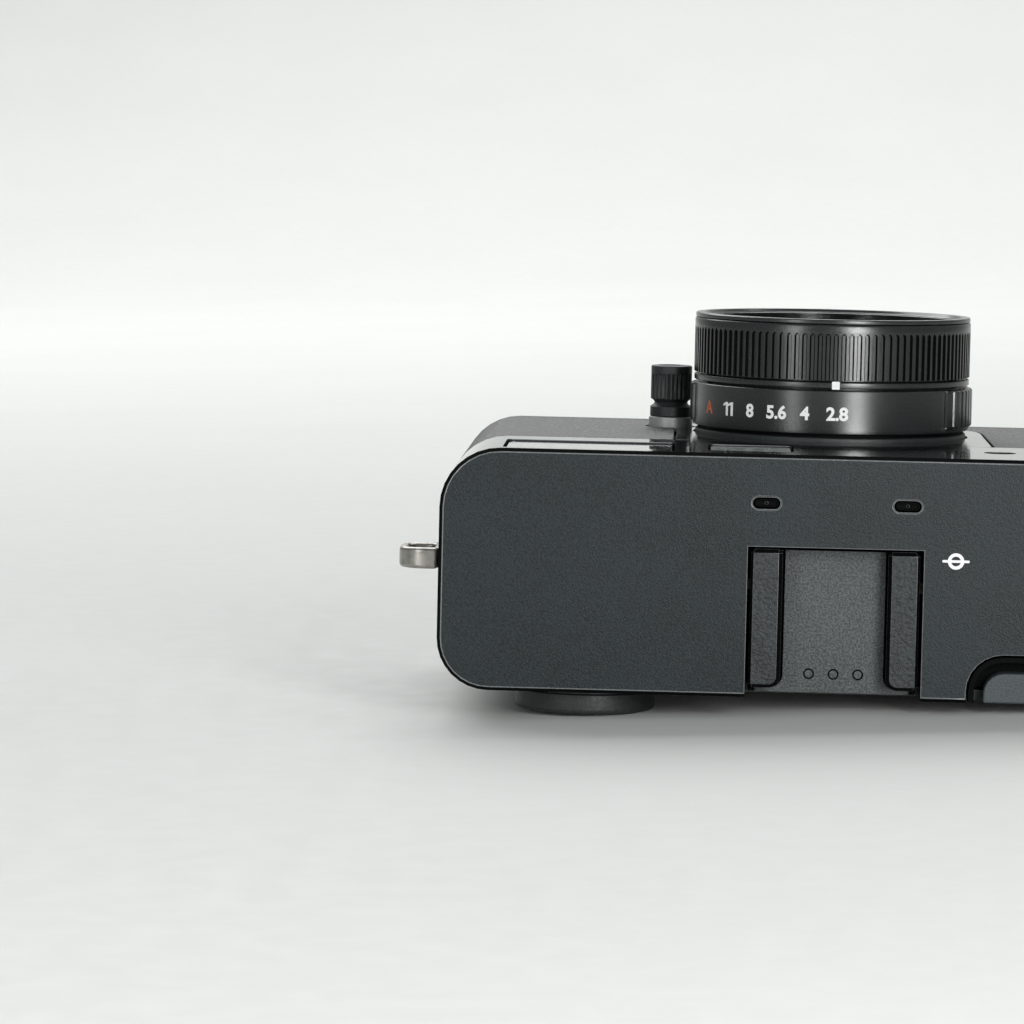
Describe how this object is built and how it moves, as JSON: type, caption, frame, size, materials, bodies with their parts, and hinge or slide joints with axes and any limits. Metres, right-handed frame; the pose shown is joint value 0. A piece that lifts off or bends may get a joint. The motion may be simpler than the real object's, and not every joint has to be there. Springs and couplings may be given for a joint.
{
  "type": "half frame style compact digital camera",
  "caption": "Black compact camera with a fixed ringed lens, accessory shoe, advance lever, round eyepiece and strap lugs, lying on its back.",
  "frame": {"origin": "middle of the bounding box in X and Y, on the plane the eyepiece rim rests on (Z = 0)", "axes": "+X towards the viewer's right-hand side, -Y out of the top plate, +Y out of the base, +Z forward along the lens, so the camera lies on its back with the lens up"},
  "size_m": [0.1156, 0.0644, 0.0458],
  "materials": {
    "top_paint": "matte fine-grain black paint",
    "lever_paint": "fine-grain charcoal paint",
    "shoe_paint": "grained black paint",
    "panel_black": "smooth satin black",
    "leatherette": "pebbled black synthetic leather",
    "shell_black": "fine textured black plastic",
    "ring_black": "satin black anodised rings",
    "matte_black": "flat black",
    "optical_glass": "coated glass",
    "screen_glass": "gloss black cover glass",
    "gunmetal": "gunmetal plated steel",
    "brass": "machined brass",
    "satin_metal": "satin aluminium",
    "circuit_board": "green solder mask",
    "cell_case": "dark moulded case"
  },
  "bodies": {
    "camera_body": {"top_cover": "top_paint", "front_shell": "shell_black", "rear_shell": "shell_black", "base_plate": "shell_black", "leatherette_left": "leatherette", "leatherette_right": "leatherette", "lens_panel": "panel_black", "lens_plinth": "panel_black", "lens_tube": "ring_black", "front_ring": "ring_black", "lens_bezel": "matte_black", "finder_window": "optical_glass", "flash_window": "screen_glass", "flash_led": "satin_metal", "af_lamp_lens": "optical_glass", "mic_insert_left": "matte_black", "mic_insert_right": "matte_black", "knob_boss": "satin_metal", "strap_lug_left": "gunmetal", "strap_lug_right": "gunmetal", "eyepiece_ring": "matte_black", "eyepiece_lens": "optical_glass", "finder_tunnel": "matte_black", "finder_objective": "optical_glass", "cold_shoe": "shoe_paint", "shoe_plate": "shoe_paint", "lever_shaft": "gunmetal", "lever_well": "top_paint", "lcd_glass": "screen_glass", "lcd_module": "cell_case", "sub_display_glass": "screen_glass", "sub_display_module": "cell_case", "image_sensor": "screen_glass", "sensor_board": "circuit_board", "chassis_plate": "gunmetal", "main_board": "circuit_board", "battery_box": "shell_black", "battery": "cell_case", "card_socket": "gunmetal", "memory_card": "cell_case", "door_hinge_pin": "gunmetal", "tripod_socket": "brass", "usb_socket": "gunmetal"},
    "focusing_group": {"lens_cell": "matte_black", "front_element": "optical_glass", "leaf_shutter": "gunmetal", "rear_element": "optical_glass"},
    "focus_ring": {"focus_ring": "ring_black"},
    "aperture_ring": {"aperture_ring": "ring_black"},
    "front_knob": {"front_knob": "ring_black"},
    "shutter_button": {"shutter_button": "ring_black"},
    "power_collar": {"power_collar": "ring_black"},
    "exposure_dial": {"exposure_dial": "ring_black"},
    "advance_lever": {"advance_lever": "lever_paint"},
    "playback_button": {"playback_button": "ring_black"},
    "display_button": {"display_button": "ring_black"},
    "battery_door": {"battery_door": "shell_black"},
    "door_latch": {"door_latch": "ring_black"},
    "port_cover": {"port_cover": "shell_black"}
  },
  "joints": [
    {"name": "focus_travel", "type": "slide", "parent": "camera_body", "child": "focusing_group", "axis": [0, 0, 1], "range_m": [0, 0.001]},
    {"name": "focus_ring_turn", "type": "hinge", "parent": "camera_body", "child": "focus_ring", "pos_m": [-0.007, 0.01085, 0.0411], "axis": [0, 0, 1], "continuous": true},
    {"name": "aperture_ring_turn", "type": "hinge", "parent": "camera_body", "child": "aperture_ring", "pos_m": [-0.007, 0.01085, 0.0346], "axis": [0, 0, 1], "range_deg": [0, 62]},
    {"name": "front_knob_turn", "type": "hinge", "parent": "camera_body", "child": "front_knob", "pos_m": [-0.0267, 0.01825, 0.0361], "axis": [0, 0, 1], "range_deg": [0, 90]},
    {"name": "shutter_press", "type": "slide", "parent": "camera_body", "child": "shutter_button", "axis": [0, 1, 0], "range_m": [0, 0.001], "stiffness_N_per_m": 800},
    {"name": "power_turn", "type": "hinge", "parent": "camera_body", "child": "power_collar", "pos_m": [0.031, -0.03035, 0.0231], "axis": [0, -1, 0], "range_deg": [0, 32]},
    {"name": "exposure_turn", "type": "hinge", "parent": "camera_body", "child": "exposure_dial", "pos_m": [0.0456, -0.03075, 0.0129], "axis": [0, -1, 0], "range_deg": [-101.25, 101.25]},
    {"name": "advance_turn", "type": "hinge", "parent": "camera_body", "child": "advance_lever", "pos_m": [0.0335, -0.02775, 0.0099], "axis": [0, -1, 0], "range_deg": [0, 52], "stiffness_Nm_per_rad": 0.01, "springref_deg": -17.19},
    {"name": "playback_press", "type": "slide", "parent": "camera_body", "child": "playback_button", "axis": [0, 0, 1], "range_m": [0, 0.0004], "stiffness_N_per_m": 500},
    {"name": "display_press", "type": "slide", "parent": "camera_body", "child": "display_button", "axis": [0, 0, 1], "range_m": [0, 0.0004], "stiffness_N_per_m": 500},
    {"name": "door_turn", "type": "hinge", "parent": "camera_body", "child": "battery_door", "pos_m": [0.0215, 0.0312, 0.0169], "axis": [0, 0, 1], "range_deg": [0, 95]},
    {"name": "latch_slide", "type": "slide", "parent": "battery_door", "child": "door_latch", "axis": [-1, 0, 0], "range_m": [0, 0.0015]},
    {"name": "port_cover_turn", "type": "hinge", "parent": "camera_body", "child": "port_cover", "pos_m": [-0.05235, 0.0201, 0.01815], "axis": [0, 0, -1], "range_deg": [0, 100]}
  ]
}
